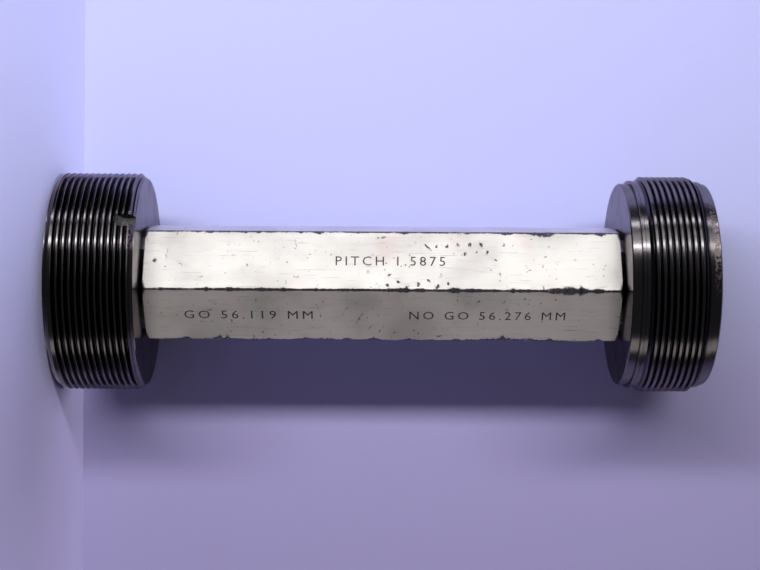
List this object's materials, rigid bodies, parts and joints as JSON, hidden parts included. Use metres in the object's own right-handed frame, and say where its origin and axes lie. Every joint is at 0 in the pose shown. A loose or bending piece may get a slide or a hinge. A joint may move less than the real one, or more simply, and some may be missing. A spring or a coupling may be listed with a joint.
{
  "type": "thread plug gauge",
  "caption": "Double-end thread plug gauge: a GO and a NO GO threaded plug, screwed to the ends of a hexagon handle.",
  "frame": {"origin": "middle of the outer face of the GO plug, on which the gauge stands", "axes": "+Z along the gauge's axis, from the GO plug to the NO GO plug; X and Y across it, with a corner of the hexagon handle about 7 degrees from -Y towards +X"},
  "size_m": [0.0572, 0.0572, 0.1693],
  "materials": {
    "go_plug_steel": "ground hardened tool steel, dark with age",
    "no_go_plug_steel": "ground hardened tool steel, dark with age, rust-stained at its outer edge",
    "handle_metal": "satin, pale warm grey, dented and scratched",
    "screw_steel": "black oxide"
  },
  "bodies": {
    "root": {"go_plug": "go_plug_steel", "no_go_plug": "no_go_plug_steel", "hex_handle": "handle_metal", "go_screw": "screw_steel", "no_go_screw": "screw_steel"}
  },
  "joints": []
}
